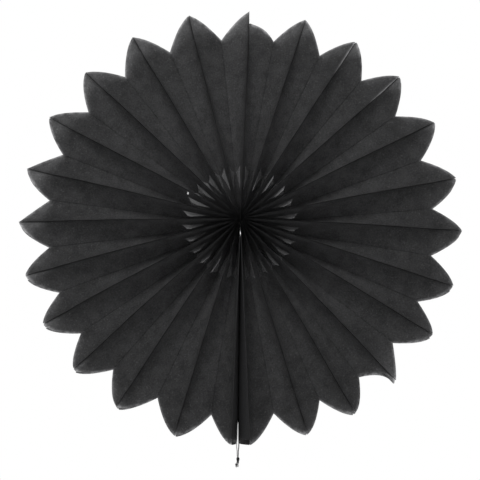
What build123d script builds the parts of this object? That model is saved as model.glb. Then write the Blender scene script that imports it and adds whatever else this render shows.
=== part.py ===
from build123d import *
import math
import os

# Paper fan rosette: a ring of folded tissue leaves between two end cards, opened to a full circle.
# Millimetres. The disc stands upright: its axis is Y, its face looks to -Y and +Z is up.
# The origin is on the axis, at mid depth. Angles run clockwise from straight up, seen from the face.

# The rosette's reach, and how far the petals rise above the notches between them
tip_radius = 225.0
petal_rise = 26.2
petal_point = 1.45
tip_corner = 1.5

# Where the petals' tip lines stand, clockwise from straight up. Past 360 they go on upwards.
# Such a fan never opens quite evenly, and the photo shows these gaps between its petals.
tip_angles = [
    *(197.0, 213.3, 228.1, 242.2, 255.8, 270.1, 284.4, 299.1, 314.7, 330.4, 346.1, 362.4),
    *(377.4, 392.0, 407.0, 422.2, 438.2, 452.2, 467.1, 480.7, 496.1, 509.4, 522.7),
]

# The fan's folds: how far the tip lines stand from mid depth at an average petal's root
rim_depth = 16.5
glue_line = 2.0
tissue_thickness = 0.3
hub_margin = 0.7
back_facets = 3

# The window cut in the front half of each leaf: a horn near the leaf's edge, a corner near its centre
window_inner_radius = 35.0
window_horn_radius = 59.0
window_corner_radius = 54.0
window_corner_height = 2.0
window_edge_margin = 9.5
window_centre_margin = 4.0
window_facets = 3

# The two end cards at the seam
seam_angle = 180.7
left_card_angle = 1.7
right_card_angle = 3.1
card_thickness = 0.5
card_hub_margin = 1.5
card_corner = 3.0
card_radius = 225.0

# The tie in the hub
tie_clearance = 0.2
tie_depth = 4.0
tie_turns = 4

# The hanging thread: two strands from between the cards, which part a little below them
thread_diameter = 1.0
thread_clearance = 0.1
thread_room = 1.9
thread_start_radius = 206.0
thread_lead = 11.0
loop_drop = 7.0
start_spread = 0.05
lead_spread = 0.15
rim_spread = 0.3
loop_spread = 0.7
lead_rise = 0.2
rim_sink = 0.4
loop_sink = 0.9
knot_sink = 1.2

# The knot and its two cut tails
knot_width = 3.2
knot_height = 6.0
knot_drop = 14.2
tail_length = 8.3
tail_spread = 1.4
short_tail_length = 7.2
short_tail_spread = -0.9

# Worked out from the sizes above
notch_radius = tip_radius - petal_rise
tip_lines = [seam_angle + left_card_angle, *tip_angles, seam_angle + 360.0 - right_card_angle]
wedges = [after - before for before, after in zip(tip_lines, tip_lines[1:])]
average_slope = math.tan(math.radians((tip_lines[-1] - tip_lines[0]) / len(wedges) / 2))
narrowest_slope = math.tan(math.radians(min(wedges) / 2))
leaf_inner_radius = tissue_thickness / narrowest_slope + hub_margin
average_reach = notch_radius * average_slope - tissue_thickness
leaf_span = math.hypot(average_reach, rim_depth - 2 * glue_line)
leaf_half_width = leaf_span + 2 * glue_line
narrow_card_angle = min(left_card_angle, right_card_angle)
card_inner_radius = card_thickness / math.tan(math.radians(narrow_card_angle)) + card_hub_margin
narrow_reach = thread_start_radius * math.tan(math.radians(narrow_card_angle)) - card_thickness
narrow_climb = math.sqrt(leaf_span**2 - narrow_reach**2)
thread_depth = glue_line + thread_room / narrow_reach * narrow_climb


class FoldedStrip:
    """A strip glued along its centre line on one side and along both edges on the other.

    It lies between the centre's plane and the edges' plane, which meet at the rosette's axis.
    """

    def __init__(self, angle, thickness, span, fold_radius):
        self.slope = math.tan(math.radians(angle))
        self.thickness = thickness
        self.span = span
        self.fold_radius = fold_radius

    def point(self, radius, across, skin):
        """A corner of the strip: across runs from the back edge to the front edge, skin is 0 or 1.

        The mitre keeps the panels as thick as the glued strips, however far they lean. Past the
        fold radius only the panels' outer parts are left, and those keep to the edges' plane.
        """
        reach = min(radius, self.fold_radius) * self.slope - self.thickness
        lean = min(1.0, reach / self.span)
        climb = math.sqrt(1 - lean**2)
        from_centre = abs(across)
        flat = min(from_centre, glue_line)
        panel = min(max(from_centre - glue_line, 0.0), self.span)
        edge = max(from_centre - glue_line - self.span, 0.0)
        mitre = skin * self.thickness * (1 - climb) / lean if edge == 0 else 0.0
        depth = math.copysign(flat + panel * climb + edge - mitre, across)
        beyond = max(radius - self.fold_radius, 0.0) * self.slope
        sideways = panel * lean + skin * self.thickness + beyond
        return Vector(sideways, -depth, radius)


def closed_solid(points, cells):
    """Two skins over a grid of corners, joined along every free edge of its cells."""
    faces = []
    border = {}
    for i, j in cells:
        corners = [(i, j), (i + 1, j), (i + 1, j + 1), (i, j + 1)]
        for triangle in ((0, 1, 2), (0, 2, 3)):
            picked = [corners[k] for k in triangle]
            faces.append([points[p][0] for p in picked])
            faces.append([points[p][1] for p in reversed(picked)])
        for start, end in zip(corners, corners[1:] + corners[:1]):
            if (end, start) in border:
                del border[(end, start)]
            else:
                border[(start, end)] = True
    for start, end in border:
        low_start, high_start = points[start]
        low_end, high_end = points[end]
        faces.append([low_end, low_start, high_start])
        faces.append([low_end, high_start, high_end])
    return Solid(Shell([Face(Wire.make_polygon(corners, close=True)) for corners in faces]))


def grid_solid(strip, rows, stations, is_open=lambda row, station: False):
    """A folded strip from its rows, each a radius for every station across it."""
    points = {}
    for i, row in enumerate(rows):
        for j, across in enumerate(stations):
            radius = row(across)
            points[(i, j)] = (strip.point(radius, across, 0), strip.point(radius, across, 1))
    cells = [
        (i, j)
        for i in range(len(rows) - 1)
        for j in range(len(stations) - 1)
        if not is_open(i, j)
    ]
    return closed_solid(points, cells)


def share_to_edge(across):
    """0 on the centre glue line, 1 on an edge glue line."""
    return min(max((abs(across) - glue_line) / leaf_span, 0.0), 1.0)


def window_share(across):
    """0 at the window's side by the leaf's edge, 1 at its corner by the centre line."""
    edge_side = glue_line + leaf_span - window_edge_margin
    corner = glue_line + window_centre_margin
    return min(max((edge_side - abs(across)) / (edge_side - corner), 0.0), 1.0)


def window_inner(across):
    """The window's side towards the hub, a straight slant."""
    reached = window_corner_radius - window_corner_height / 2
    return window_inner_radius + (reached - window_inner_radius) * window_share(across)


def window_outer(across):
    """The window's side towards the rim, a curve that runs out in a horn near the leaf's edge."""
    reached = window_corner_radius + window_corner_height / 2
    return reached + (window_horn_radius - reached) * (1 - window_share(across)) ** 2


def make_leaf(angle):
    """One tissue leaf, between its centre's plane and its edges' plane, which are this angle apart.

    Its cut end rises from the notch on its centre line to a tip at each edge. The tips' radius is
    measured along the edges' plane, and every other row's along the centre's.
    """
    tip_level = tip_radius * math.cos(math.radians(angle))

    def petal_end(across):
        rise = (tip_level - notch_radius) * (1 - (1 - share_to_edge(across)) ** petal_point)
        past_edge_line = max(abs(across) - glue_line - leaf_span, 0.0) / glue_line
        return notch_radius + rise - tip_corner * past_edge_line

    def between(share):
        return lambda across: window_outer(across) + (petal_end(across) - window_outer(across)) * share

    edge_line = glue_line + leaf_span
    corner = glue_line + window_centre_margin
    window_step = (leaf_span - window_edge_margin - window_centre_margin) / window_facets
    window_stations = [corner + window_step * k for k in range(window_facets + 1)]
    back_step = leaf_span / back_facets
    back = [-leaf_half_width, *(-edge_line + back_step * k for k in range(back_facets + 1))]
    outer_station = (window_stations[-1] + edge_line) / 2
    stations = back + [glue_line, *window_stations, outer_station, edge_line, leaf_half_width]
    root_share = (notch_radius - window_horn_radius) / (tip_level - window_horn_radius)
    rows = [lambda across: leaf_inner_radius, window_inner, window_outer]
    rows += [between(root_share / 2), between(root_share), petal_end]
    first_open = len(back) + 1
    open_cells = [(1, first_open + k) for k in range(window_facets)]
    strip = FoldedStrip(angle, tissue_thickness, leaf_span, notch_radius)
    return grid_solid(strip, rows, stations, lambda i, j: (i, j) in open_cells)


def make_card(angle):
    """One end card, between the seam's plane and its edges' plane, with its corners cut round."""
    edge_line = leaf_half_width - glue_line
    corner_line = leaf_half_width - card_corner
    half = [glue_line, *sorted((corner_line, edge_line)), leaf_half_width]
    stations = [-across for across in reversed(half)] + half
    middle = (card_inner_radius + card_radius) / 2

    def outer_end(across):
        from_edge = min(leaf_half_width - abs(across), card_corner)
        return card_radius - card_corner + math.sqrt(from_edge * (2 * card_corner - from_edge))

    rows = [lambda across: card_inner_radius, lambda across: middle, outer_end]
    strip = FoldedStrip(angle, card_thickness, leaf_span, card_radius)
    return grid_solid(strip, rows, stations)


def turned(shape, angle, to_the_left=False):
    """The shape turned clockwise about the axis, mirrored first for a piece on the other side."""
    if to_the_left:
        shape = mirror(shape, about=Plane.YZ)
    return shape.rotate(Axis.Y, angle)


def make_hub_tie():
    """Turns of thread pulled tight in the hub, which fill the bore inside the leaves."""
    radius = leaf_inner_radius - tie_clearance
    turn = tie_depth / tie_turns
    groove = radius - turn / 4
    with BuildSketch(Plane.XY) as sketch:
        with BuildLine():
            Line((0, -tie_depth / 2), (groove, -tie_depth / 2))
            for k in range(tie_turns):
                low = -tie_depth / 2 + k * turn
                ThreePointArc((groove, low), (radius, low + turn / 2), (groove, low + turn))
            Line((groove, tie_depth / 2), (0, tie_depth / 2))
            Line((0, tie_depth / 2), (0, -tie_depth / 2))
        make_face()
    return revolve(sketch.sketch, axis=Axis.Y)


def seam_point(radius, sideways, depth):
    """A point beside the seam's plane: sideways is clockwise of it, depth is towards the face."""
    turn = math.radians(seam_angle)
    x = radius * math.sin(turn) + sideways * math.cos(turn)
    z = radius * math.cos(turn) - sideways * math.sin(turn)
    return Vector(x, -depth, z)


def thread_route(side):
    """One strand of the hanging loop, from between the end cards to the top of the knot."""
    rest = thread_diameter / 2 + thread_clearance
    lead_end = thread_start_radius + thread_lead
    knot_top = card_radius + knot_drop - knot_height / 2
    return [
        seam_point(thread_start_radius, side * (rest + start_spread), thread_depth),
        seam_point(lead_end, side * (rest + lead_spread), thread_depth + lead_rise),
        seam_point(card_radius, side * (rest + rim_spread), thread_depth - rim_sink),
        seam_point(card_radius + loop_drop, side * (rest + loop_spread), thread_depth - loop_sink),
        seam_point(knot_top - thread_clearance / 2, side * rest, thread_depth - knot_sink),
    ]


def arc_radii(route):
    """Each corner's radius: 0.45 of its shorter run over the tangent of half its turn."""
    radii = []
    for before, corner, after in zip(route, route[1:], route[2:]):
        inward = corner - before
        outward = after - corner
        half_turn = math.radians(inward.get_angle(outward)) / 2
        radii.append(0.45 * min(inward.length, outward.length) / math.tan(half_turn))
    return radii


def make_thread(side):
    """A strand as one round tube."""
    route = thread_route(side)
    radii = arc_radii(route)
    print("thread radii", [round(radius, 1) for radius in radii])
    path = FilletPolyline(*route, radius=radii)
    section = Plane(origin=path @ 0, z_dir=path % 0) * Circle(thread_diameter / 2)
    tube = sweep(section, path=path)
    area = math.pi * thread_diameter**2 / 4
    print("thread length", round(path.length, 2), "volume ratio", round(tube.volume / (area * path.length), 4))
    return tube


def make_knot():
    """The knot that closes the loop, with its two cut tails."""
    depth = thread_depth - knot_sink
    centre = seam_point(card_radius + knot_drop, 0.0, depth)
    knot = Pos(centre) * scale(Sphere(knot_width / 2), by=(1, 1, knot_height / knot_width))
    tails = ((tail_spread, tail_length), (short_tail_spread, short_tail_length))
    for sideways, length in tails:
        end = seam_point(card_radius + knot_drop + length, sideways, depth)
        direction = end - centre
        tail = Plane(origin=centre, z_dir=direction) * Cylinder(
            thread_diameter / 2, direction.length, align=(Align.CENTER, Align.CENTER, Align.MIN)
        )
        knot += tail
    return knot


os.makedirs("parts", exist_ok=True)

print("leaf span", round(leaf_span, 2), "widest wedge", round(max(wedges), 1))
for cell, (tip_line, next_tip_line) in enumerate(zip(tip_lines, tip_lines[1:])):
    leaf = make_leaf((next_tip_line - tip_line) / 2)
    notch_line = (tip_line + next_tip_line) / 2
    export_step(turned(leaf, notch_line, to_the_left=True), f"parts/leaf_{2 * cell + 1:02d}.step")
    export_step(turned(leaf, notch_line), f"parts/leaf_{2 * cell + 2:02d}.step")

left_card = turned(make_card(left_card_angle), seam_angle)
right_card = turned(make_card(right_card_angle), seam_angle, to_the_left=True)
export_step(left_card, "parts/end_card_left.step")
export_step(right_card, "parts/end_card_right.step")
export_step(make_hub_tie(), "parts/hub_tie.step")
export_step(make_thread(1), "parts/thread_left.step")
export_step(make_thread(-1), "parts/thread_right.step")
export_step(make_knot(), "parts/thread_knot.step")
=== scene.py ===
import logging
import math
from dataclasses import dataclass, field
from enum import Enum

import bpy
import numpy as np
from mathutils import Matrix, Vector


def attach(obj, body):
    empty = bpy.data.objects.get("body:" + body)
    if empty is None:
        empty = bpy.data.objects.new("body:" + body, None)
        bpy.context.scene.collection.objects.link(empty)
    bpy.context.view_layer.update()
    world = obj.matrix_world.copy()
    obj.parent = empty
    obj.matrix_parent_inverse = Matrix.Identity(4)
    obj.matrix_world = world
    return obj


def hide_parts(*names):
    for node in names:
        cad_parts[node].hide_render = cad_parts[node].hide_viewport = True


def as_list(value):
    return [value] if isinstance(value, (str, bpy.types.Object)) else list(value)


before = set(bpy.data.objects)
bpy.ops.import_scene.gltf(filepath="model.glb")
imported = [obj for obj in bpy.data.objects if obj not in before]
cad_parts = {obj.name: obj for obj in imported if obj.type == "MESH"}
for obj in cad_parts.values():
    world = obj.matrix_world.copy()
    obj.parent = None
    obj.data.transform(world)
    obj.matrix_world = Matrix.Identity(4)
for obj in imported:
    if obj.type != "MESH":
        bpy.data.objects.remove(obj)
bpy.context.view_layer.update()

MM = 0.001
BODY = "root"

# The mesh attribute that says how light the tissue is at each point: the darker glued lines, and
# painted light and shade
SHADE = "shade"

# What a leaf and a card share: the panel between two glued lines, and half of a glued line's width
PANEL = 28.42 * MM
GLUE_LINE = 2.0 * MM

# Where the petals' tip lines stand, clockwise from straight up, seen from the face
SEAM_ANGLE = 180.7
LEFT_CARD_ANGLE = 1.7
RIGHT_CARD_ANGLE = 3.1
TIP_ANGLES = (
    *(197.0, 213.3, 228.1, 242.2, 255.8, 270.1, 284.4, 299.1, 314.7, 330.4, 346.1, 362.4),
    *(377.4, 392.0, 407.0, 422.2, 438.2, 452.2, 467.1, 480.7, 496.1, 509.4, 522.7),
)
TIP_LINES = (SEAM_ANGLE + LEFT_CARD_ANGLE, *TIP_ANGLES, SEAM_ANGLE + 360.0 - RIGHT_CARD_ANGLE)
LEAVES = 2 * (len(TIP_LINES) - 1)

# How far below its axis the rosette is seen from, in degrees
SEEN_FROM_BELOW = 11.6

Point = tuple[float, float, float]
Route = tuple[Point, ...]
Loops = list[tuple[int, ...]]
Socket = bpy.types.NodeSocket
Material = bpy.types.Material
Object = bpy.types.Object

log = logging.getLogger("rosette")


class Side(Enum):
    """Which side of a radial plane a strip lies on, seen from the face."""

    CLOCKWISE = 1
    ANTICLOCKWISE = -1


class Blend(Enum):
    """How a level or a colour changes another colour, with the node input that takes it."""

    SCALE = "Scale"
    ADD = 1


class Waves:
    """Smooth repeatable noise in space, for the wander and crumple of thin paper."""

    lattice = 256

    def __init__(self, seed: int) -> None:
        """Shuffles the lattice.

        Args:
            seed: what makes this noise differ from another.
        """
        draw = np.random.default_rng(seed)
        self.order = np.tile(draw.permutation(self.lattice), 2)
        self.slopes = draw.normal(size=(self.lattice, 3))
        self.slopes /= np.linalg.norm(self.slopes, axis=1)[:, None]

    def at(self, places: np.ndarray, length: float) -> np.ndarray:
        """The noise at some places.

        Args:
            places: points, one a row.
            length: the distance from one swell to the next, in the points' units.

        Returns:
            One value a point, mostly between -0.5 and 0.5.
        """
        scaled = places / length
        cell = np.floor(scaled).astype(int)
        inside = scaled - cell
        ease = inside**3 * (inside * (inside * 6 - 15) + 10)
        total = np.zeros(len(places))
        for corner in range(8):
            step = np.array([corner >> 2 & 1, corner >> 1 & 1, corner & 1])
            x, y, z = ((cell + step) & (self.lattice - 1)).T
            slope = self.slopes[self.order[self.order[self.order[x] + y] + z]]
            weight = np.prod(np.where(step, ease, 1 - ease), axis=1)
            total += weight * np.einsum("ij,ij->i", slope, inside - step)
        return total


class FinishNodes:
    """The nodes of one new material, with the steps that every finish here takes."""

    relief_strength = 0.5

    def __init__(self, name: str, roughness: float, specular: float) -> None:
        """Makes the material.

        Args:
            name: its name.
            roughness: how rough the surface is, from 0 to 1.
            specular: its specular level, from 0 to 1.
        """
        self.material = bpy.data.materials.new(name)
        self.material.use_nodes = True
        self.surface = self.material.node_tree.nodes["Principled BSDF"]
        self.surface.inputs["Roughness"].default_value = roughness
        self.surface.inputs["Specular IOR Level"].default_value = specular
        self.place = self.new("ShaderNodeTexCoord").outputs["Object"]

    def new(self, kind: str) -> bpy.types.Node:
        """A new node of one kind."""
        return self.material.node_tree.nodes.new(kind)

    def link(self, source: Socket, target: Socket) -> None:
        """Joins an output socket to an input socket."""
        self.material.node_tree.links.new(source, target)

    def noise(self, length: float, detail: float) -> Socket:
        """A noise texture of one size.

        Args:
            length: the size of its patches, in metres.
            detail: how many finer layers it has.

        Returns:
            The socket with the noise.
        """
        texture = self.new("ShaderNodeTexNoise")
        texture.inputs["Scale"].default_value = 1.0 / length
        texture.inputs["Detail"].default_value = detail
        self.link(self.place, texture.inputs["Vector"])
        return texture.outputs["Fac"]

    def ramp(self, noise: Socket, half: float, low: Point, high: Point) -> Socket:
        """A colour that follows a noise.

        Args:
            noise: the socket with the noise, whose middle is 0.5.
            half: how far from that middle each of the two colours is reached.
            low: the colour where the noise is low.
            high: the colour where the noise is high.

        Returns:
            The socket with the colour.
        """
        ramp = self.new("ShaderNodeValToRGB")
        first, last = ramp.color_ramp.elements
        first.position, last.position = 0.5 - half, 0.5 + half
        first.color, last.color = (*low, 1), (*high, 1)
        self.link(noise, ramp.inputs["Fac"])
        return ramp.outputs["Color"]

    def blended(self, color: Socket, blend: Blend, by: Socket) -> Socket:
        """A colour changed by a level or by another colour.

        Args:
            color: the socket with the colour.
            blend: how it is changed.
            by: the socket that changes it.

        Returns:
            The socket with the changed colour.
        """
        step = self.new("ShaderNodeVectorMath")
        step.operation = blend.name
        self.link(color, step.inputs[0])
        self.link(by, step.inputs[blend.value])
        return step.outputs["Vector"]

    def raise_by(self, noise: Socket, depth: float) -> None:
        """Gives the surface a fine relief.

        Args:
            noise: the socket with its height.
            depth: how deep it is, in metres.
        """
        bump = self.new("ShaderNodeBump")
        bump.inputs["Strength"].default_value = self.relief_strength
        bump.inputs["Distance"].default_value = depth
        self.link(noise, bump.inputs["Height"])
        self.link(bump.outputs["Normal"], self.surface.inputs["Normal"])


@dataclass(frozen=True)
class TissueFinish:
    """Thin black tissue: matt, mottled with fibres, and lit through from behind."""

    name: str = "tissue"
    tone: float = 0.052
    through: float = 0.1
    through_share: float = 0.5
    tone_spread: float = 0.3
    ramp_half: float = 0.14
    blue_share: float = 1.02
    fibre_length: float = 1.6 * MM
    mottle_length: float = 12.0 * MM
    mottle_share: float = 0.45
    fleck: float = 0.05
    fleck_length: float = 2.0 * MM
    fleck_range: tuple[float, float] = (0.61, 0.69)
    relief: float = 0.12 * MM
    roughness: float = 0.8
    specular: float = 0.2

    def material(self) -> Material:
        """The finish as a material.

        Returns:
            The new material, with reflection and light from behind mixed.
        """
        nodes = FinishNodes(self.name, self.roughness, self.specular)
        fibre = nodes.noise(self.fibre_length, detail=4.0)
        both = nodes.new("ShaderNodeMix")
        both.inputs["Factor"].default_value = self.mottle_share
        nodes.link(fibre, both.inputs["A"])
        nodes.link(nodes.noise(self.mottle_length, detail=3.0), both.inputs["B"])
        flecks = self.flecks(nodes)
        # The mesh's levels, glue darkening with painted light and shade, scale both the reflected
        # and the through colour
        level = nodes.new("ShaderNodeAttribute")
        level.attribute_name = SHADE
        glow = nodes.new("ShaderNodeBsdfTranslucent")
        painted = (
            (self.tone, nodes.surface.inputs["Base Color"]), (self.through, glow.inputs["Color"]),
        )
        for tone, socket in painted:
            low = self.black(tone * (1 - self.tone_spread))
            high = self.black(tone * (1 + self.tone_spread))
            color = nodes.ramp(both.outputs["Result"], self.ramp_half, low, high)
            color = nodes.blended(color, Blend.SCALE, level.outputs["Fac"])
            nodes.link(nodes.blended(color, Blend.ADD, flecks), socket)
        nodes.raise_by(fibre, self.relief)
        mix = nodes.new("ShaderNodeMixShader")
        mix.inputs["Fac"].default_value = self.through_share
        nodes.link(nodes.surface.outputs["BSDF"], mix.inputs[1])
        nodes.link(glow.outputs["BSDF"], mix.inputs[2])
        output = nodes.material.node_tree.nodes["Material Output"]
        nodes.link(mix.outputs["Shader"], output.inputs["Surface"])
        return nodes.material

    def black(self, tone: float) -> Point:
        """The paper's slightly blue black at one tone."""
        return (tone, tone, tone * self.blue_share)

    def flecks(self, nodes: FinishNodes) -> Socket:
        """The pale flecks of loose fibre.

        Args:
            nodes: the material's nodes.

        Returns:
            The socket with what the flecks add to the colour.
        """
        spots = nodes.new("ShaderNodeMapRange")
        spots.inputs["From Min"].default_value = self.fleck_range[0]
        spots.inputs["From Max"].default_value = self.fleck_range[1]
        spots.inputs["To Max"].default_value = self.fleck
        nodes.link(nodes.noise(self.fleck_length, detail=2.0), spots.inputs["Value"])
        return spots.outputs["Result"]


@dataclass(frozen=True)
class PlainFinish:
    """Card or thread: a colour with a little grain."""

    name: str
    color: Point
    grain_length: float = 1.0 * MM
    grain: float = 0.25
    ramp_half: float = 0.15
    relief: float = 0.08 * MM
    roughness: float = 0.75
    specular: float = 0.25

    def material(self) -> Material:
        """The finish as a material.

        Returns:
            The new material.
        """
        nodes = FinishNodes(self.name, self.roughness, self.specular)
        noise = nodes.noise(self.grain_length, detail=3.0)
        low = tuple(part * (1 - self.grain) for part in self.color)
        high = tuple(part * (1 + self.grain) for part in self.color)
        nodes.link(nodes.ramp(noise, self.ramp_half, low, high), nodes.surface.inputs["Base Color"])
        nodes.raise_by(noise, self.relief)
        return nodes.material


def mesh_piece(name: str, points: np.ndarray, faces: Loops, material: Material) -> Object:
    """A smooth-shaded mesh object from its corners and faces.

    Args:
        name: the piece's name.
        points: the corners, one a row, in metres.
        faces: tuples of corner numbers.
        material: its finish.

    Returns:
        The new object, linked to the scene.
    """
    mesh = bpy.data.meshes.new(name)
    mesh.from_pydata(points.tolist(), [], faces)
    mesh.shade_smooth()
    mesh.materials.append(material)
    mesh.validate()
    piece = bpy.data.objects.new(name, mesh)
    bpy.context.scene.collection.objects.link(piece)
    return piece


def grid_loop(row: int, column: int, columns: int) -> tuple[int, ...]:
    """The corner numbers of one face of a grid, whose points are numbered row by row."""
    first = row * columns + column
    return first, first + 1, first + columns + 1, first + columns


def turned(sideways: np.ndarray, depth: np.ndarray, radius: np.ndarray, angle: float) -> np.ndarray:
    """Points beside a radial plane, put in their place round the hub.

    Args:
        sideways: distance clockwise of the plane, in metres.
        depth: distance towards the face, in metres.
        radius: distance from the hub along the plane, in metres.
        angle: the plane's angle, clockwise from straight up, in degrees.

    Returns:
        The points, in the last axis of the array.
    """
    turn = math.radians(angle)
    x = radius * math.sin(turn) + sideways * math.cos(turn)
    z = radius * math.cos(turn) - sideways * math.sin(turn)
    return np.stack([x, -depth, z], axis=-1)


@dataclass(frozen=True)
class LeafCut:
    """The cut end of one leaf.

    Args:
        point: how the cut rises to the tips: 1 is straight, more is rounder and less is hollow.
        shortened: how far its tips fall short of the usual.
        lobe: the width of the round part beside each tip.
        cut_back: how far the cut turns back over that width.
    """

    point: float
    shortened: float
    lobe: float
    cut_back: float


@dataclass
class TissueFan:
    """The 48 tissue leaves, glued in turn along their edges and along their centre lines."""

    # The cut ends, and the leaves whose ends differ from the usual
    tip_radius: float = 227.4 * MM
    notch_radius: float = 200.2 * MM
    petal_point: float = 1.7
    most_shortened: float = 0.6 * MM
    lobes: tuple[float, float] = (4.0 * MM, 8.0 * MM)
    cut_backs: tuple[float, float] = (1.0 * MM, 4.0 * MM)
    cut_seed: int = 700
    special_cuts: dict[int, LeafCut] = field(default_factory=lambda: {
        13: LeafCut(point=1.15, shortened=0.0, lobe=2.5 * MM, cut_back=1.0 * MM),
        15: LeafCut(point=1.2, shortened=0.0, lobe=2.5 * MM, cut_back=1.0 * MM),
        24: LeafCut(point=1.6, shortened=2.5 * MM, lobe=1.5 * MM, cut_back=0.5 * MM),
        25: LeafCut(point=3.0, shortened=14.0 * MM, lobe=9.0 * MM, cut_back=3.0 * MM),
        42: LeafCut(point=1.25, shortened=1.5 * MM, lobe=3.0 * MM, cut_back=1.0 * MM),
        43: LeafCut(point=0.4, shortened=1.5 * MM, lobe=3.0 * MM, cut_back=1.0 * MM),
    })

    # How the leaves lie in their cells. The ridges' depth is the same all round.
    inner_radius: float = 3.3 * MM
    usual_wedge: float = 14.8
    paper_gap: float = 0.01 * MM
    belly: float = 0.3
    valley_width: float = 0.15
    round_valley: float = 0.55
    first_notch_shift: float = -1.0

    # The slot beside the seam, between the hub and the cards' inner ends
    slot_start: float = 14.5 * MM
    slot_ease: float = 1.0 * MM
    slot_back_end: float = 12.0 * MM
    slot_parting: float = 0.4 * MM

    # The window in each leaf's front half, and the pinhole through the fan
    window_corner: float = 5.2 * MM
    window_side: float = 16.2 * MM
    window_inner_radius: float = 34.0 * MM
    window_corner_radius: float = 55.0 * MM
    window_corner_height: float = 2.0 * MM
    window_horn_radius: float = 60.8 * MM
    pinhole: Point = (-53.6 * MM, -30.0 * MM, 27.1 * MM)
    pinhole_size: float = 1.7 * MM
    pinhole_leaves: tuple[int, ...] = (16, 17, 18)

    # The mesh's columns on each part of half a leaf, and its rows
    glue_columns: int = 2
    inner_columns: int = 3
    window_columns: int = 12
    outer_columns: int = 9
    hub_rows: int = 14
    window_rows: int = 6
    petal_rows: int = 104

    # The wander that the whole fan shares, and each leaf's own crumple: the lengths and heights of
    # its layers, which read their noise one step apart
    wander: float = 1.6 * MM
    wander_length: float = 70.0 * MM
    wander_growth: float = 1.5
    crumples: tuple[tuple[float, float], ...] = ((35.0 * MM, 1.8 * MM), (12.0 * MM, 0.54 * MM))
    crumple_seed: int = 100
    layer_step: float = 5.0

    # How light the paper is: darker on glued lines, with painted shade beside creases and in the
    # hub, and painted light towards the hub, over lower-side leaves and on the cut rim
    glue_dark: float = 0.5
    glue_fade: float = 2.0 * MM
    painted_lower_light: float = 0.15
    painted_crease_shade: float = 0.38
    crease_end: float = 12.0 * MM
    painted_crease_fade: float = 9.0 * MM
    painted_inner_light: float = 1.6
    painted_hub_shade: float = 0.35
    painted_hub_shade_radius: float = 16.0 * MM
    rim_width: float = 3.6 * MM
    painted_rim_light: float = 3.8
    speckle_seed: int = 50
    speckle_length: float = 3.0 * MM
    speckle_middle: float = 0.5
    speckle_contrast: float = 1.4

    # The pale ends of some leaves, and the painted highlights beside two creases, where a bent edge
    # catches the light
    pale_ends: dict[int, float] = field(default_factory=lambda: {42: 0.9, 24: 0.3, 26: 0.3})
    pale_start: float = 185.0 * MM
    painted_highlight_leaves: tuple[int, ...] = (28, 30)
    painted_highlight_radius: float = 206.0 * MM
    painted_highlight_reach: float = 22.0 * MM
    painted_highlight_from_edge: float = 4.6 * MM
    painted_highlight_half_width: float = 3.0 * MM
    painted_highlight_gain: float = 7.0

    finish: TissueFinish = TissueFinish()

    @property
    def edge_line(self) -> float:
        """Where the edge's glue strip begins, measured across the leaf."""
        return PANEL + GLUE_LINE

    @property
    def half_width(self) -> float:
        """Half of the leaf's whole width."""
        return PANEL + 2 * GLUE_LINE

    def stations(self) -> np.ndarray:
        """The mesh's columns across a leaf.

        Returns:
            Distances from the centre line, from the back edge to the front edge.
        """
        parts = [np.zeros(1)]
        bands = (
            (GLUE_LINE, self.glue_columns),
            (self.window_corner, self.inner_columns),
            (self.window_side, self.window_columns),
            (self.edge_line, self.outer_columns),
            (self.half_width, self.glue_columns),
        )
        for end, columns in bands:
            parts.append(np.linspace(parts[-1][-1], end, columns + 1)[1:])
        half = np.concatenate(parts)
        return np.concatenate([-half[:0:-1], half])

    def window_share(self, across: np.ndarray) -> np.ndarray:
        """0 at the window's side by the leaf's edge, 1 at its corner by the centre line."""
        width = self.window_side - self.window_corner
        return np.clip((self.window_side - np.abs(across)) / width, 0, 1)

    def window_inner(self, across: np.ndarray) -> np.ndarray:
        """The radius of the window's side towards the hub."""
        rise = self.window_corner_radius - self.window_corner_height / 2 - self.window_inner_radius
        return self.window_inner_radius + rise * self.window_share(across)

    def window_outer(self, across: np.ndarray) -> np.ndarray:
        """The radius of the window's side towards the rim."""
        corner = self.window_corner_radius + self.window_corner_height / 2
        return corner + (self.window_horn_radius - corner) * (1 - self.window_share(across)) ** 2

    def bow(self, share: np.ndarray) -> np.ndarray:
        """How far behind a straight panel the bowed paper lies, as a share of the way sideways."""
        belly = self.belly * np.sin(2 * math.pi * share) / (2 * math.pi)
        return belly - self.valley_width * np.sin(math.pi * share)

    def cut(self, number: int) -> LeafCut:
        """How one leaf's end is cut.

        Args:
            number: the leaf's number, from 1.

        Returns:
            Its own cut where it has one, or else one that varies a little from leaf to leaf.
        """
        draw = np.random.default_rng(self.cut_seed + number)
        usual = LeafCut(
            point=self.petal_point, shortened=draw.uniform(0, self.most_shortened),
            lobe=draw.uniform(*self.lobes), cut_back=draw.uniform(*self.cut_backs),
        )
        return self.special_cuts.get(number, usual)

    def petal_end(self, across: np.ndarray, cut: LeafCut) -> np.ndarray:
        """The radius of the leaf's cut end.

        Args:
            across: places across the leaf.
            cut: how its end is cut.

        Returns:
            The radius at each place: it rises from the centre line to a lobe beside each edge.
        """
        share = np.clip((np.abs(across) - GLUE_LINE) / PANEL, 0, 1)
        rise = 1 - (1 - (share - self.bow(share))) ** cut.point
        past_lobe = np.clip((np.abs(across) - (self.half_width - cut.lobe)) / cut.lobe, 0, 1)
        height = self.tip_radius - self.notch_radius - cut.shortened
        return self.notch_radius + height * rise - cut.cut_back * past_lobe**2

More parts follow.
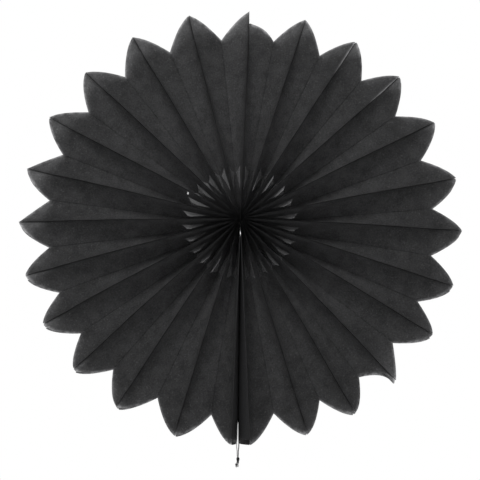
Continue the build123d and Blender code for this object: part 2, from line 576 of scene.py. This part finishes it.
    def grid(self, number: int) -> tuple[np.ndarray, np.ndarray, set[int]]:
        """The flat leaf as a grid.

        Args:
            number: the leaf's number, from 1.

        Returns:
            The radius and the place across of each grid point, and the rows of the window.
        """
        across = self.stations()
        inner, outer = self.window_inner(across), self.window_outer(across)
        end = self.petal_end(across, self.cut(number))
        hub = np.linspace(0, 1, self.hub_rows + 1)[:-1, None]
        window = np.linspace(0, 1, self.window_rows + 1)[:-1, None]
        petal = np.linspace(0, 1, self.petal_rows + 1)[:, None]
        radius = np.concatenate([
            self.inner_radius + (inner - self.inner_radius) * hub,
            inner + (outer - inner) * window,
            outer + (end - outer) * petal,
        ])
        open_rows = set(range(self.hub_rows, self.hub_rows + self.window_rows))
        return radius, np.broadcast_to(across, radius.shape), open_rows

    def shaped(self, number: int, radius: np.ndarray, across: np.ndarray) -> np.ndarray:
        """A leaf's points in their place.

        Args:
            number: the leaf's number, from 1.
            radius: each point's radius in the flat leaf.
            across: each point's place across the flat leaf.

        Returns:
            The points, one a row.
        """
        cell = (number - 1) // 2
        side = Side.ANTICLOCKWISE if number % 2 else Side.CLOCKWISE
        notch_line = (TIP_LINES[cell] + TIP_LINES[cell + 1]) / 2
        if cell == 0:
            notch_line += self.first_notch_shift
        tip_line = TIP_LINES[cell] if side is Side.ANTICLOCKWISE else TIP_LINES[cell + 1]
        slope = math.tan(math.radians(abs(tip_line - notch_line)))
        folded = np.minimum(radius, self.notch_radius)
        reach = folded * slope - 2 * self.paper_gap
        beyond = (radius - folded) * slope
        lean = folded * math.tan(math.radians(self.usual_wedge / 2)) / PANEL
        share = np.clip((np.abs(across) - GLUE_LINE) / PANEL, 0, 1)
        flat = np.abs(across) - PANEL * share
        rise = share - self.round_valley * np.sin(math.pi * share) / math.pi
        depth = flat + PANEL * np.sqrt(1 - lean**2) * rise
        sideways = self.paper_gap + beyond + reach * (share - self.bow(share))
        if number in (1, LEAVES):
            sideways += self.slot_shift(number, radius, across) * share
        places = turned(side.value * sideways, np.copysign(depth, across), radius, notch_line)
        return self.wandered(number, places.reshape(-1, 3), share.ravel(), radius.ravel())

    def slot_shift(self, number: int, radius: np.ndarray, across: np.ndarray) -> np.ndarray:
        """How far the first or the last leaf's edges shift inside the cards' inner ends.

        Args:
            number: the leaf's number, 1 or the last.
            radius: each point's radius in the flat leaf.
            across: each point's place across the flat leaf.

        Returns:
            The shift towards the seam: on the front half it closes the seam at the hub, and on the
            back half it parts it a little.
        """
        wedge = LEFT_CARD_ANGLE if number == 1 else RIGHT_CARD_ANGLE
        closed = np.clip((self.slot_start - radius) / self.slot_ease, 0, 1)
        parted = np.clip((self.slot_back_end - radius) / self.slot_ease, 0, 1)
        closing = radius * math.tan(math.radians(wedge)) * closed
        return np.where(across > 0, closing, -self.slot_parting * parted)

    def wandered(
        self, number: int, places: np.ndarray, share: np.ndarray, radius: np.ndarray,
    ) -> np.ndarray:
        """The points moved by the paper's wander and crumple.

        Args:
            number: the leaf's number, from 1.
            places: the points, one a row.
            share: 0 on the centre line and 1 on an edge, for each point.
            radius: each point's radius.

        Returns:
            The moved points.
        """
        outward = np.clip(radius / self.tip_radius, 0, 1)
        moved = places.copy()
        for axis in range(3):
            waves = Waves(axis).at(places, self.wander_length)
            moved[:, axis] += self.wander * outward**self.wander_growth * waves
        own = Waves(self.crumple_seed + number)
        for layer, (length, height) in enumerate(self.crumples):
            swell = height * own.at(places + layer * self.layer_step, length)
            moved[:, 1] += swell * np.sin(math.pi * share) * outward
        return moved

    def speckle(self, number: int, radius: np.ndarray, across: np.ndarray) -> np.ndarray:
        """How strongly the painted light on the cut rim shows, mottled from point to point.

        Args:
            number: the leaf's number, from 1.
            radius: each point's radius in the flat leaf.
            across: each point's place across the flat leaf.

        Returns:
            A share from 0 to 1 for each point.
        """
        flat = np.stack([radius, across, np.full_like(radius, number)], axis=-1).reshape(-1, 3)
        waves = Waves(self.speckle_seed).at(flat, self.speckle_length).reshape(radius.shape)
        return np.clip(self.speckle_middle + self.speckle_contrast * waves, 0, 1)

    def shade(self, number: int, radius: np.ndarray, across: np.ndarray) -> np.ndarray:
        """How light the paper is: darker on glued lines, with painted shade beside creases and in
        the hub, and painted light inwards, over lower-side leaves, on its cut rim and in two
        highlights.

        Args:
            number: the leaf's number, from 1.
            radius: each point's radius in the flat leaf, with the cut end in the last row.
            across: each point's place across the flat leaf.

        Returns:
            The level of each point, where 1 is plain paper.
        """
        past_glue = self.half_width - np.abs(across) - GLUE_LINE
        from_end = radius[-1] - radius
        short_of_end = np.clip(from_end / self.crease_end, 0, 1)
        glued = short_of_end * (1 - np.clip(past_glue / self.glue_fade, 0, 1))
        rim = np.clip(1 - from_end / self.rim_width, 0, 1)
        # Painted light, lighter towards the hub
        level = 1 + self.painted_inner_light * (1 - np.clip(radius / self.tip_radius, 0, 1))
        # Painted shade in the hub's deep centre
        level *= 1 - self.painted_hub_shade * np.clip(1 - radius / self.painted_hub_shade_radius, 0, 1)
        level *= 1 - self.glue_dark * glued
        # Painted light on the cut rim, mottled
        level *= 1 + self.painted_rim_light * rim * self.speckle(number, radius, across)
        # Leaves on the lower side of their crease: painted light over them, and painted shade
        # beside the crease
        looks_down = (number % 2 == 0) == (number <= LEAVES // 2)
        if looks_down:
            crease = short_of_end * np.exp(-np.maximum(past_glue, 0) / self.painted_crease_fade)
            level *= 1 + self.painted_lower_light - self.painted_crease_shade * crease
        end = np.clip((radius - self.pale_start) / (self.tip_radius - self.pale_start), 0, 1)
        level *= 1 + self.pale_ends.get(number, 0) * end
        # Painted highlights beside the creases of two leaves, where a bent edge catches the light
        if number in self.painted_highlight_leaves:
            along = np.clip(1 - ((radius - self.painted_highlight_radius) / self.painted_highlight_reach) ** 2, 0, 1)
            off_highlight = self.half_width - across - self.painted_highlight_from_edge
            beside = np.exp(-((off_highlight / self.painted_highlight_half_width) ** 2))
            level *= 1 + self.painted_highlight_gain * along * beside
        return level

    def faces(self, shape: tuple[int, int], across: np.ndarray, open_rows: set[int]) -> Loops:
        """The grid's faces, with the window left out.

        Args:
            shape: the grid's rows and columns.
            across: each column's place across.
            open_rows: the rows that hold the window.

        Returns:
            Tuples of corner numbers.
        """
        rows, columns = shape
        middles = (across[:-1] + across[1:]) / 2
        in_window = (self.window_corner < middles) & (middles < self.window_side)
        return [
            grid_loop(row, column, columns)
            for row in range(rows - 1)
            for column in range(columns - 1)
            if not (row in open_rows and in_window[column])
        ]

    def pierced(self, points: np.ndarray, faces: Loops) -> Loops:
        """The faces that a pinhole through the fan leaves.

        Args:
            points: the leaf's points, one a row.
            faces: its faces.

        Returns:
            The faces away from the hole's line, which runs back and a little up.
        """
        rise = math.radians(SEEN_FROM_BELOW)
        along = np.array([0, math.cos(rise), math.sin(rise)])
        middles = points[np.array(faces)].mean(axis=1) - np.array(self.pinhole)
        off_line = np.linalg.norm(middles - np.outer(middles @ along, along), axis=1)
        return [face for face, off in zip(faces, off_line) if off > self.pinhole_size]

    def build(self) -> list[Object]:
        """Makes every leaf.

        Returns:
            The leaves' objects.
        """
        material = self.finish.material()
        made = []
        for number in range(1, LEAVES + 1):
            radius, across, open_rows = self.grid(number)
            points = self.shaped(number, radius, across)
            faces = self.faces(radius.shape, across[0], open_rows)
            if number in self.pinhole_leaves:
                faces = self.pierced(points, faces)
            piece = mesh_piece(f"tissue_leaf_{number:02d}", points, faces, material)
            levels = piece.data.attributes.new(SHADE, "FLOAT", "POINT")
            levels.data.foreach_set("value", self.shade(number, radius, across).ravel())
            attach(piece, BODY)
            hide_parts(f"leaf_{number:02d}")
            made.append(piece)
        return made


@dataclass
class EndCards:
    """The two stiffer strips that meet at the seam and part a little at the rim."""

    radius: float = 226.5 * MM
    inner_radius: float = 16.0 * MM
    thickness: float = 0.5 * MM
    corner: float = 3.0 * MM
    bend: float = 4.0

    # How the cards part on the seam at the rim, and the channel in which the thread lies
    flare: float = 1.0 * MM
    flare_start: float = 205.5 * MM
    flare_growth: float = 0.3
    thread_room: float = 1.4 * MM
    thread_share: float = 0.33
    channel_width: float = 0.16
    channel_start: float = 203.0 * MM

    # The mesh's rows, and its columns between two bends
    rows: int = 60
    band_columns: int = 7

    finish: PlainFinish = PlainFinish("end_card", (0.022, 0.022, 0.023))

    @property
    def half_width(self) -> float:
        """Half of a card's whole width."""
        return PANEL + 2 * GLUE_LINE

    def stations(self) -> np.ndarray:
        """The mesh's columns across a card, from the back edge to the front edge."""
        bends = [0, GLUE_LINE, self.half_width - self.corner, PANEL + GLUE_LINE, self.half_width]
        bands = [np.linspace(a, b, self.band_columns + 1)[:-1] for a, b in zip(bends, bends[1:])]
        half = np.concatenate([*bands, [self.half_width]])
        return np.concatenate([-half[:0:-1], half])

    def skin(self, across: np.ndarray, slope: float, outer: float) -> tuple[np.ndarray, ...]:
        """One face of a card.

        Args:
            across: the columns' places across.
            slope: the tangent of the card's wedge.
            outer: 0 for the face towards the seam, 1 for the face towards its leaf.

        Returns:
            The sideways, depth and radius of each grid point.
        """
        over = np.maximum(np.abs(across) - (self.half_width - self.corner), 0)
        end = self.radius - self.corner + np.sqrt(np.maximum(self.corner**2 - over**2, 0))
        along = np.linspace(0, 1, self.rows + 1)[:, None]
        radius = self.inner_radius + (end - self.inner_radius) * along
        share = np.clip((np.abs(across) - GLUE_LINE) / PANEL, 0, 1)
        flat = np.abs(across) - PANEL * share
        flared = np.clip((radius - self.flare_start) / (self.radius - self.flare_start), 0, 1)
        open_by = self.flare * flared**self.flare_growth
        reach = radius * slope - self.thickness - open_by
        lean = np.clip(reach / PANEL, 0, 1)
        depth = np.copysign(flat + PANEL * share * np.sqrt(1 - lean**2), across)
        near_thread = np.exp(-(((share - self.thread_share) / self.channel_width) ** 2))
        begun = np.clip((radius - self.channel_start) / self.thread_room, 0, 1)
        channel = self.thread_room * near_thread * (across > 0) * begun
        sideways = np.maximum(open_by + reach * share**self.bend, channel) + outer * self.thickness
        return sideways, depth, radius

    def faces(self, columns: int) -> Loops:
        """The faces of both skins and of the edge between them.

        Args:
            columns: how many columns each skin has.

        Returns:
            Tuples of corner numbers, with the outer skin's after the inner skin's.
        """
        rows = self.rows + 1
        count = rows * columns
        found = []
        for row in range(rows - 1):
            for column in range(columns - 1):
                loop = grid_loop(row, column, columns)
                found.append(loop)
                found.append(tuple(count + k for k in reversed(loop)))
        border = [
            *range(columns),
            *(row * columns + columns - 1 for row in range(1, rows)),
            *((rows - 1) * columns + column for column in range(columns - 2, -1, -1)),
            *(row * columns for row in range(rows - 2, 0, -1)),
        ]
        for here, there in zip(border, border[1:] + border[:1]):
            found.append((there, here, here + count, there + count))
        return found

    def card(self, name: str, angle: float, side: Side, material: Material) -> Object:
        """Makes one card.

        Args:
            name: the piece's name.
            angle: its wedge, in degrees.
            side: where it lies from the seam's plane.
            material: its finish.

        Returns:
            The card's object.
        """
        across = self.stations()
        points = []
        for outer in (0.0, 1.0):
            sideways, depth, radius = self.skin(across, math.tan(math.radians(angle)), outer)
            points.append(turned(side.value * sideways, depth, radius, SEAM_ANGLE).reshape(-1, 3))
        piece = mesh_piece(name, np.concatenate(points), self.faces(len(across)), material)
        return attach(piece, BODY)

    def build(self) -> list[Object]:
        """Makes both cards.

        Returns:
            The left card and the right card.
        """
        material = self.finish.material()
        left = self.card("left_end_card", LEFT_CARD_ANGLE, Side.CLOCKWISE, material)
        right = self.card("right_end_card", RIGHT_CARD_ANGLE, Side.ANTICLOCKWISE, material)
        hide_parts("end_card_left")
        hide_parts("end_card_right")
        return [left, right]


@dataclass
class HangingThread:
    """The thread that hangs out between the cards, and its knot. Its routes are in millimetres."""

    diameter: float = 1.0 * MM
    length: float = 30.25 * MM
    left_route: Route = (
        (-3.17, -11.43, -205.98), (-3.40, -11.63, -216.97), (-3.65, -11.03, -224.97),
        (-4.13, -10.53, -231.97), (-3.48, -10.23, -236.13),
    )
    right_route: Route = (
        (-1.87, -11.43, -205.99), (-1.90, -11.63, -216.99), (-1.85, -11.03, -224.99),
        (-1.53, -10.53, -232.00), (-2.29, -10.23, -236.14),
    )

    # The knot's two tight loops, each with its centre and size, and their swing on each axis
    knots: tuple[tuple[Point, float], ...] = (
        ((-2.6, -10.4, -245.6), 1.0), ((-4.3, -10.2, -250.6), 0.5),
    )
    knot_swing: Point = (0.4, 0.6, 1.15)
    knot_points: int = 60

    # The left and right thread's ends above the knot, and below it
    drawn_ends: tuple[Route, Route] = (
        ((-3.48, -10.23, -236.15), (-3.55, -10.2, -239.5), (-3.2, -10.0, -243.5)),
        ((-2.29, -10.23, -236.15), (-2.3, -10.3, -239.5), (-2.5, -10.4, -243.5)),
    )
    tails: tuple[Route, Route] = (
        (
            (-3.0, -10.2, -246.0), (-4.3, -10.1, -248.5),
            (-4.5, -10.3, -250.8), (-4.2, -10.2, -253.2),
        ),
        (
            (-2.7, -10.2, -246.0), (-2.9, -10.3, -248.6),
            (-2.5, -10.2, -250.6), (-2.7, -10.2, -252.6),
        ),
    )

    # How finely a curve follows its line and is rounded
    line_steps: int = 12
    strand_roundness: int = 4
    knot_roundness: int = 3

    pale: PlainFinish = PlainFinish("pale_thread", (0.72, 0.72, 0.72), grain_length=0.4 * MM)
    dark: PlainFinish = PlainFinish("dark_thread", (0.02, 0.02, 0.021), grain_length=0.4 * MM)

    def curve(
        self, name: str, roundness: int, materials: tuple[Material, ...],
    ) -> bpy.types.Curve:
        """A round curve as thick as the thread, without lines yet.

        Args:
            name: the curve's name.
            roundness: how finely it is rounded.
            materials: its finishes, in the order of the lines' numbers.

        Returns:
            The new curve.
        """
        curve = bpy.data.curves.new(name, "CURVE")
        curve.dimensions = "3D"
        curve.bevel_depth = self.diameter / 2
        curve.bevel_resolution = roundness
        curve.use_fill_caps = True
        for material in materials:
            curve.materials.append(material)
        return curve

    def add_line(
        self, curve: bpy.types.Curve, route: Route | np.ndarray,
        closed: bool = False, finish: int = 0,
    ) -> None:
        """Adds one smooth line to a curve.

        Args:
            curve: the curve.
            route: the line's points, in millimetres.
            closed: whether it ends where it began.
            finish: the number of its finish among the curve's.
        """
        spline = curve.splines.new("NURBS")
        spline.points.add(len(route) - 1)
        for point, place in zip(spline.points, route):
            point.co = (*(value * MM for value in place), 1)
        spline.order_u = 3
        spline.use_endpoint_u = not closed
        spline.use_cyclic_u = closed
        spline.resolution_u = self.line_steps
        spline.material_index = finish

    def strand(self, name: str, route: Route, material: Material) -> Object:
        """Makes one strand as a smooth round cord.

        Args:
            name: the piece's name.
            route: its points, in millimetres.
            material: its finish.

        Returns:
            The strand's curve object.
        """
        curve = self.curve(name, self.strand_roundness, (material,))
        self.add_line(curve, route)
        piece = bpy.data.objects.new(name, curve)
        bpy.context.scene.collection.objects.link(piece)
        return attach(piece, BODY)

    def knot(self, materials: tuple[Material, ...]) -> Object:
        """Makes the knot: the thread drawn tight through itself, with two cut tails.

        Args:
            materials: the left strand's finish and the right strand's.

        Returns:
            The knot's mesh object.
        """
        curve = self.curve("thread_knot_line", self.knot_roundness, materials)
        turns = np.linspace(0, 2 * math.pi, self.knot_points, endpoint=False)
        loop = np.stack([
            (np.sin(turns) + 2 * np.sin(2 * turns)) * self.knot_swing[0],
            -np.sin(3 * turns) * self.knot_swing[1],
            (np.cos(turns) - 2 * np.cos(2 * turns)) * self.knot_swing[2],
        ], axis=1)
        for centre, size in self.knots:
            self.add_line(curve, loop * size + np.array(centre), closed=True, finish=1)
        for ends in (self.drawn_ends, self.tails):
            for finish, line in enumerate(ends):
                self.add_line(curve, line, finish=finish)
        holder = bpy.data.objects.new("thread_knot_line", curve)
        mesh = bpy.data.meshes.new_from_object(holder)
        bpy.data.objects.remove(holder)
        bpy.data.curves.remove(curve)
        mesh.name = "tied_knot"
        mesh.shade_smooth()
        piece = bpy.data.objects.new("tied_knot", mesh)
        bpy.context.scene.collection.objects.link(piece)
        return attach(piece, BODY)

    def build(self) -> list[Object]:
        """Returns:
            The left strand, the right strand and the knot.
        """
        pale, dark = self.pale.material(), self.dark.material()
        left = self.strand("left_strand", self.left_route, pale)
        right = self.strand("right_strand", self.right_route, dark)
        knot = self.knot((pale, dark))
        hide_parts("thread_left")
        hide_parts("thread_right")
        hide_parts("thread_knot")
        cords = ((left, self.left_route, []), (right, self.right_route, [knot]))
        for piece, route, carried in cords:
            [value * MM for value in route[0]]
            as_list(carried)
        return [left, right, knot]


@dataclass
class HubTie:
    """The turns of thread pulled tight in the hub, as the frame has them."""

    finish: PlainFinish = PlainFinish("hub_thread", (0.01, 0.01, 0.01), grain_length=0.6 * MM)

    def build(self) -> list[Object]:
        """Dresses the frame's own tie.

        Returns:
            The tie's object.
        """
        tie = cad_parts["hub_tie"]
        tie.data.materials.clear()
        tie.data.materials.append(self.finish.material())
        return [tie]


@dataclass(frozen=True)
class Lamp:
    """A soft square lamp aimed at the hub.

    Args:
        name: its name.
        place: where it stands, in metres.
        size: its side, in metres.
        level: how bright a white card at the hub turns, where 1 is white.
    """

    name: str
    place: Point
    size: float
    level: float

    def build(self) -> Object:
        """Adds the lamp, which the camera doesn't see.

        Returns:
            The lamp's object.
        """
        place = Vector(self.place)
        data = bpy.data.lights.new(self.name, "AREA")
        data.size = self.size
        data.energy = self.level * math.pi**2 * place.length_squared
        lamp = bpy.data.objects.new(self.name, data)
        lamp.location = place
        lamp.rotation_mode = "QUATERNION"
        lamp.rotation_quaternion = (-place).to_track_quat("-Z", "Y")
        lamp.visible_camera = False
        bpy.context.scene.collection.objects.link(lamp)
        return lamp


@dataclass
class Studio:
    """The camera, the light and the floor."""

    # The camera: its distance in metres, its focal length and where it sees the hub, in pixels
    distance: float = 2.18
    focal_px: float = 2094.0
    picture_px: float = 480.0
    hub_right_px: float = 0.5
    hub_up_px: float = 15.3
    sensor: float = 36.0

    floor_level: float = -1.0
    floor_half: float = 3.0
    floor_color: float = 0.8
    floor_roughness: float = 0.9

    room_light: float = 0.29
    lamps: tuple[Lamp, ...] = (
        Lamp("back_lamp", (-0.9, 1.2, 1.3), size=0.9, level=0.95),
        Lamp("front_lamp", (-0.25, -1.3, 0.9), size=0.6, level=0.44),
    )

    def camera(self) -> Object:
        """Puts the camera where the photographed view is from.

        Returns:
            The camera's object.
        """
        pitch = math.radians(SEEN_FROM_BELOW)
        forward = Vector((0, math.cos(pitch), math.sin(pitch)))
        up = Vector((0, -math.sin(pitch), math.cos(pitch)))
        right = Vector((1, 0, 0))
        place = -forward * self.distance
        pixel = self.distance / self.focal_px
        target = -up * (self.hub_up_px * pixel) - right * (self.hub_right_px * pixel)
        data = bpy.data.cameras.new("camera")
        data.sensor_width = self.sensor
        data.lens = self.focal_px / self.picture_px * self.sensor
        camera = bpy.data.objects.new("camera", data)
        camera.location = place
        camera.rotation_mode = "QUATERNION"
        camera.rotation_quaternion = (target - place).to_track_quat("-Z", "Y")
        bpy.context.scene.collection.objects.link(camera)
        bpy.context.scene.camera = camera
        return camera

    def world(self) -> None:
        """Makes the surround, which is seen white and lights the object at the room's level."""
        world = bpy.data.worlds.new("surround")
        bpy.context.scene.world = world
        world.use_nodes = True
        nodes, links = world.node_tree.nodes, world.node_tree.links
        back = nodes["Background"]
        back.inputs["Color"].default_value = (1, 1, 1, 1)
        path = nodes.new("ShaderNodeLightPath")
        seen = path.outputs["Is Camera Ray"]
        for other in ("Is Glossy Ray", "Is Transmission Ray"):
            either = nodes.new("ShaderNodeMath")
            either.operation = "MAXIMUM"
            links.new(seen, either.inputs[0])
            links.new(path.outputs[other], either.inputs[1])
            seen = either.outputs["Value"]
        level = nodes.new("ShaderNodeMapRange")
        level.inputs["To Min"].default_value = self.room_light
        level.inputs["To Max"].default_value = 1.0
        links.new(seen, level.inputs["Value"])
        links.new(level.outputs["Result"], back.inputs["Strength"])

    def floor(self) -> Object:
        """Lays the pale floor well below the rosette.

        Returns:
            The floor's object.
        """
        half = self.floor_half
        corners = ((-half, -half), (half, -half), (half, half), (-half, half))
        points = np.array([(x, y, self.floor_level) for x, y in corners])
        material = bpy.data.materials.new("floor")
        material.use_nodes = True
        surface = material.node_tree.nodes["Principled BSDF"]
        surface.inputs["Base Color"].default_value = (self.floor_color,) * 3 + (1,)
        surface.inputs["Roughness"].default_value = self.floor_roughness
        floor = mesh_piece("floor", points, [(0, 1, 2, 3)], material)
        return floor

    def build(self) -> None:
        """Sets the whole studio."""
        bpy.context.scene.view_settings.view_transform = "Standard"
        self.camera()
        self.world()
        for lamp in self.lamps:
            lamp.build()
        self.floor()


def main() -> None:
    """Builds the rosette piece by piece."""
    logging.basicConfig(level=logging.INFO, format="%(message)s")
    Studio().build()
    for part in (HangingThread(), TissueFan(), EndCards(), HubTie()):
        for piece in part.build():
            made_of = f"{len(piece.data.polygons)} faces" if piece.type == "MESH" else "a curve"
            log.info("%s: %s, %s", type(part).__name__, piece.name, made_of)


if __name__ == "__main__":
    main()
